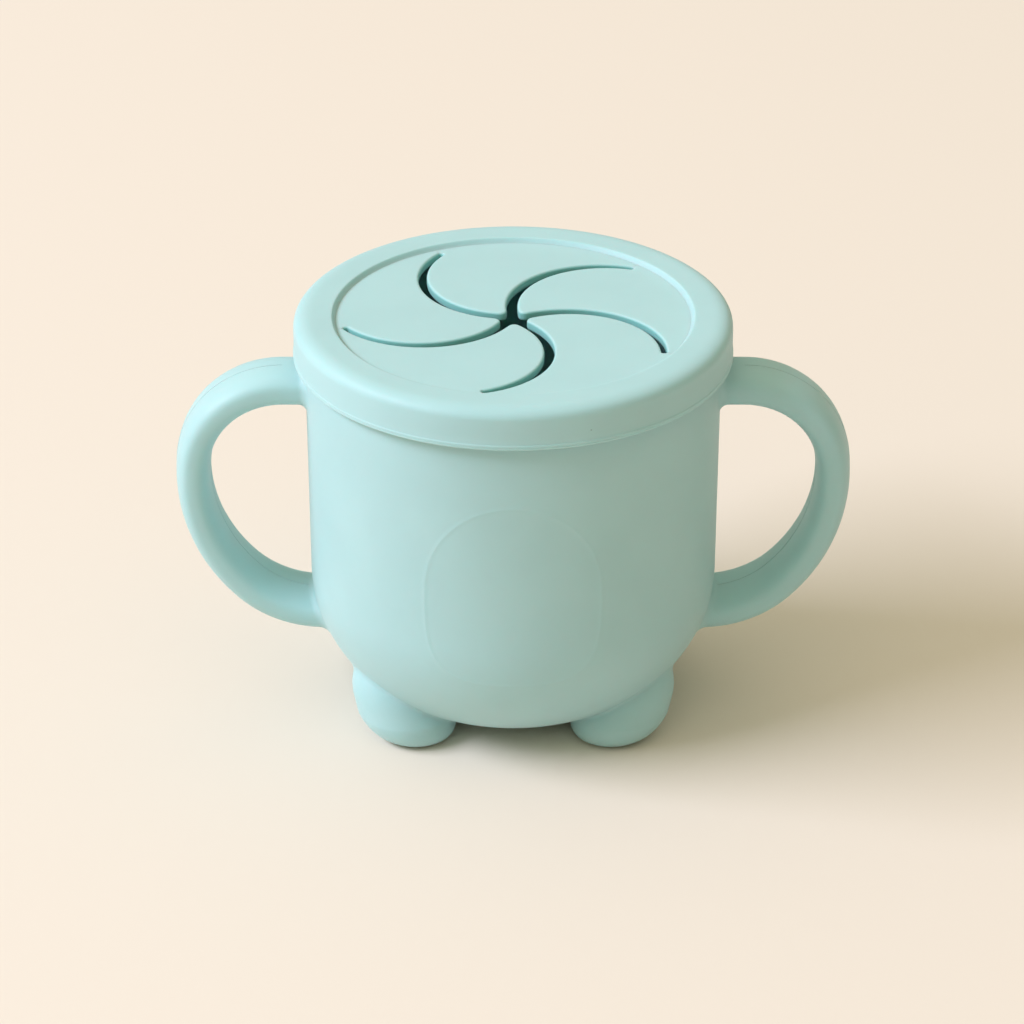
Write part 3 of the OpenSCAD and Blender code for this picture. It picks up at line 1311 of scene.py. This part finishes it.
@dataclass(frozen=True)
class Silicone:
    """Matte moulded silicone: a pale body with faint clouding, dust specks, a fine mould grain, and a
    darker teal painted on the slits' walls as shade.
    """

    name: str
    base: Colour = linear(176, 216, 217)
    deep: Colour = linear(173, 213, 214)
    speck: Colour = linear(96, 130, 127)
    # Painted shade: the darker teal that the slits' walls take in place of the shade between the petals
    wall: Colour = linear(138, 200, 196)
    roughness: float = 0.46
    rough_cloud: float = 0.08
    rough_grain: float = 0.04
    cloud_scale: float = 55.0
    cloud_detail: float = 3.0
    cloud_range: tuple[float, float] = (0.3, 0.7)
    grain_scale: float = 2600.0
    grain_detail: float = 2.0
    grain_depth: float = 0.00001
    grain_strength: float = 0.35
    speck_scale: float = 130.0
    speck_size: tuple[float, float] = (0.02, 0.035)
    speck_rarity: float = 0.9
    speck_strength: float = 0.5
    ior: float = 1.41
    glow: float = 0.35
    glow_radius: tuple[float, float, float] = (0.4, 1.0, 0.9)
    glow_scale: float = 0.0025
    sheen: float = 0.12
    sheen_roughness: float = 0.45

    def material(self) -> bpy.types.Material:
        """Gives the material, built on the first call."""
        held = bpy.data.materials.get(self.name)
        if held:
            return held
        made = bpy.data.materials.new(self.name)
        made.use_nodes = True
        made.node_tree.nodes.clear()
        maker = TreeMaker(made.node_tree)
        place = maker.add("ShaderNodeTexCoord").outputs["Object"]
        cloud = self._noise(maker, place, self.cloud_scale, self.cloud_detail)
        grain = self._noise(maker, place, self.grain_scale, self.grain_detail)
        # Painted shade: the marked slit walls are mixed towards the darker teal, standing in for the shade
        # between the petals
        wall = maker.wire("ShaderNodeAttribute", "Fac", {"attribute_name": WALL_SHADE_MARK})
        clouded = maker.mix(cloud.ramp(*self.cloud_range), self.base, self.deep)
        wall_shaded = maker.mix(wall, clouded, self.wall)
        inputs = {"Strength": self.grain_strength, "Distance": self.grain_depth, "Height": grain}
        shader = maker.add(
            "ShaderNodeBsdfPrincipled",
            None,
            {
                "Base Color": maker.mix(self._specks(maker, place), wall_shaded, self.speck),
                "Roughness": cloud * self.rough_cloud + self.roughness + grain * self.rough_grain,
                "Normal": maker.wire("ShaderNodeBump", 0, None, inputs),
                "IOR": self.ior,
                "Subsurface Weight": self.glow,
                "Subsurface Radius": self.glow_radius,
                "Subsurface Scale": self.glow_scale,
                "Sheen Weight": self.sheen,
                "Sheen Roughness": self.sheen_roughness,
            },
        )
        maker.add("ShaderNodeOutputMaterial", None, {"Surface": shader.outputs[0]})
        return made

    @staticmethod
    def _noise(maker: TreeMaker, place: Any, scale: float, detail: float) -> Wire:
        """Adds a noise texture over the object."""
        inputs = {"Vector": place, "Scale": scale, "Detail": detail}
        return maker.wire("ShaderNodeTexNoise", 0, None, inputs)

    def _specks(self, maker: TreeMaker, place: Any) -> Wire:
        """Adds the dust: a small spot in the few cells whose random number is high."""
        inputs = {"Vector": place, "Scale": self.speck_scale}
        spots = maker.add("ShaderNodeTexVoronoi", {"feature": "F1"}, inputs)
        chosen = maker.wire("ShaderNodeSeparateColor", 0, None, {0: spots.outputs["Color"]})
        away = Wire(maker, spots.outputs["Distance"])
        return (1 - away.ramp(*self.speck_size)) * (chosen > self.speck_rarity) * self.speck_strength


@dataclass
class Studio:
    """Floor, lamps and camera: none of them is part of the object."""

    pitch: float = 27.84
    distance: float = 1000.0
    aim_z: float = 41.69
    aim_x: float = -0.25
    focal_px: float = 4801.0
    frame_px: float = 1024.0
    sensor: float = 36.0
    clip: tuple[float, float] = (50.0, 20000.0)
    floor_half: float = 4000.0
    floor_colour: Colour = linear(233, 224, 211)
    floor_roughness: float = 0.85
    floor_shine: float = 0.1
    sky_axis: tuple[float, float, float] = (-0.15, 0.0, 0.99)
    sky_start: float = 0.0
    sky_full: float = 0.7
    dim_light: Colour = (0.04, 0.04, 0.04, 1.0)
    sky_light: Colour = (0.79, 0.73, 0.56, 1.0)
    lamp_place: tuple[float, float, float] = (-3000.0, -640.0, 2571.0)
    lamp_aim_z: float = 40.0
    lamp_size: tuple[float, float] = (2600.0, 1000.0)
    lamp_power: float = 160.0
    lamp_colour: tuple[float, float, float] = (0.81, 0.82, 1.0)

    def build(self) -> None:
        """Sets the stage."""
        self._camera()
        self._floor()
        self._world()
        self._lamp()

    def _camera(self) -> None:
        """Places the camera where the fitted view puts it."""
        data = bpy.data.cameras.new("camera")
        data.sensor_width = self.sensor
        data.lens = self.focal_px * self.sensor / self.frame_px
        data.clip_start, data.clip_end = (reach * MM for reach in self.clip)
        camera = bpy.data.objects.new("camera", data)
        pitch = math.radians(self.pitch)
        back = Vector((0.0, -math.cos(pitch), math.sin(pitch)))
        camera.location = (Vector((self.aim_x, 0.0, self.aim_z)) + self.distance * back) * MM
        camera.rotation_euler = (math.pi / 2 - pitch, 0.0, 0.0)
        bpy.context.scene.collection.objects.link(camera)
        bpy.context.scene.camera = camera

    def _floor(self) -> None:
        """Lays a wide plain pale floor."""
        mesh = bpy.data.meshes.new("floor")
        half = self.floor_half * MM
        corners = [(-half, -half, 0), (half, -half, 0), (half, half, 0), (-half, half, 0)]
        mesh.from_pydata(corners, [], [(0, 1, 2, 3)])
        material = bpy.data.materials.new("floor")
        material.use_nodes = True
        shader = material.node_tree.nodes["Principled BSDF"]
        shader.inputs["Base Color"].default_value = self.floor_colour
        shader.inputs["Roughness"].default_value = self.floor_roughness
        shader.inputs["Specular IOR Level"].default_value = self.floor_shine
        mesh.materials.append(material)
        floor = bpy.data.objects.new("floor", mesh)
        bpy.context.scene.collection.objects.link(floor)
        floor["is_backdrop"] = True

    def _world(self) -> None:
        """Fills the room with soft warm light that comes from above, mostly from the key's side."""
        world = bpy.data.worlds.new("room")
        world.use_nodes = True
        maker = TreeMaker(world.node_tree)
        direction = maker.add("ShaderNodeTexCoord").outputs["Generated"]
        settings = {"operation": "DOT_PRODUCT"}
        toward = maker.wire("ShaderNodeVectorMath", "Value", settings, {0: direction, 1: self.sky_axis})
        colour = maker.mix(toward.ramp(self.sky_start, self.sky_full), self.dim_light, self.sky_light)
        sky = world.node_tree.nodes["Background"]
        world.node_tree.links.new(colour.socket, sky.inputs["Color"])
        bpy.context.scene.world = world

    def _lamp(self) -> None:
        """Hangs a soft wide lamp on the left that looks at the object."""
        data = bpy.data.lights.new("key", "AREA")
        data.shape = "RECTANGLE"
        data.energy, data.color = self.lamp_power, self.lamp_colour
        data.size, data.size_y = (side * MM for side in self.lamp_size)
        lamp = bpy.data.objects.new("key", data)
        lamp.location = Vector(self.lamp_place) * MM
        toward = Vector((0.0, 0.0, self.lamp_aim_z * MM)) - lamp.location
        lamp.rotation_euler = toward.to_track_quat("-Z", "Y").to_euler()
        bpy.context.scene.collection.objects.link(lamp)


def main() -> None:
    """Builds the pieces in order and reports each."""
    logging.basicConfig(level=logging.INFO, format="%(message)s")
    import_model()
    bpy.context.scene.view_settings.view_transform = "Standard"
    Studio().build()
    cup_finish = Silicone("matte_cup")
    lid_finish = Silicone("matte_lid")
    cup = CupMoulding()
    pieces = [cup.build(cup_finish)]
    pieces.append(LidRim().build(lid_finish, Lathe()))
    pieces += PetalSheet().build(lid_finish)
    lines = [handle.seam(face) for handle in cup.handles for face in (1.0, -1.0)]
    seam = Seam().lay("handle_seams", lines, cup_finish.material())
    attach(seam, "cup")
    pieces.append(seam)
    for piece in pieces:
        log.info("%s: %d faces", piece.name, len(piece.data.polygons))


if __name__ == "__main__":
    main()
